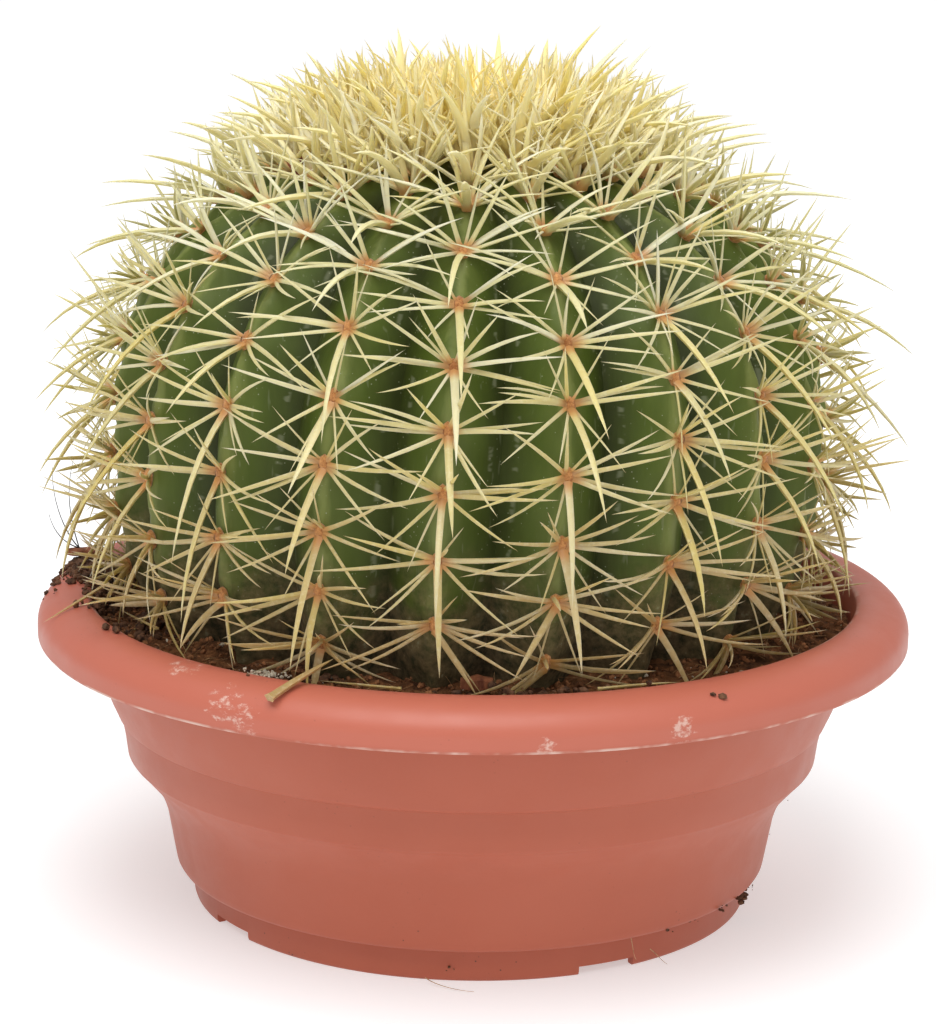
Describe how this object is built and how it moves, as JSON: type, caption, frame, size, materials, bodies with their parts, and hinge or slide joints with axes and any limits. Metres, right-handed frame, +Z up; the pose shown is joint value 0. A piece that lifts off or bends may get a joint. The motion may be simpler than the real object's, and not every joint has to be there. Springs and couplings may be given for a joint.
{
  "type": "potted barrel cactus",
  "caption": "Round ribbed cactus with long pale yellow spines, growing in soil in a wide terracotta-coloured plastic bowl with a rolled lip and a low foot.",
  "frame": {"origin": "centre of the bowl's foot ring, on the surface it stands on", "axes": "+Z up; the rim's axis is Z; -Y is the front shown first, with the widest view of the foot's drain notches on its right"},
  "size_m": [0.27, 0.27, 0.2669],
  "materials": {
    "terracotta_plastic": "moulded terracotta-coloured plastic, satin, with pale scuffs on the lip",
    "peat": null,
    "stem_skin": null,
    "spine": "pale yellow woody spines with rusty bases, slightly glossy",
    "wool": "short yellowish plant felt",
    "bark": "red-brown bark flakes, rough",
    "dry_petal": "dry papery red-brown flower remains"
  },
  "bodies": {
    "root": {"pot": "terracotta_plastic", "potting_soil": "peat", "cactus_stem": "stem_skin", "crown_wool": "wool", "spine_row_01": "spine", "spine_row_02": "spine", "spine_row_03": "spine", "spine_row_04": "spine", "spine_row_05": "spine", "spine_row_06": "spine", "spine_row_07": "spine", "spine_row_08": "spine", "spine_row_09": "spine", "spine_row_10": "spine", "spine_row_11": "spine", "spine_row_12": "spine", "spine_row_13": "spine", "spine_row_14": "spine", "spine_row_15": "spine", "spine_row_16": "spine", "spine_row_17": "spine", "spine_row_18": "spine", "spine_row_19": "spine", "spine_row_20": "spine", "dry_flower_remnant": "dry_petal", "bark_chip_front": "bark", "bark_chip_left": "bark"}
  },
  "joints": []
}
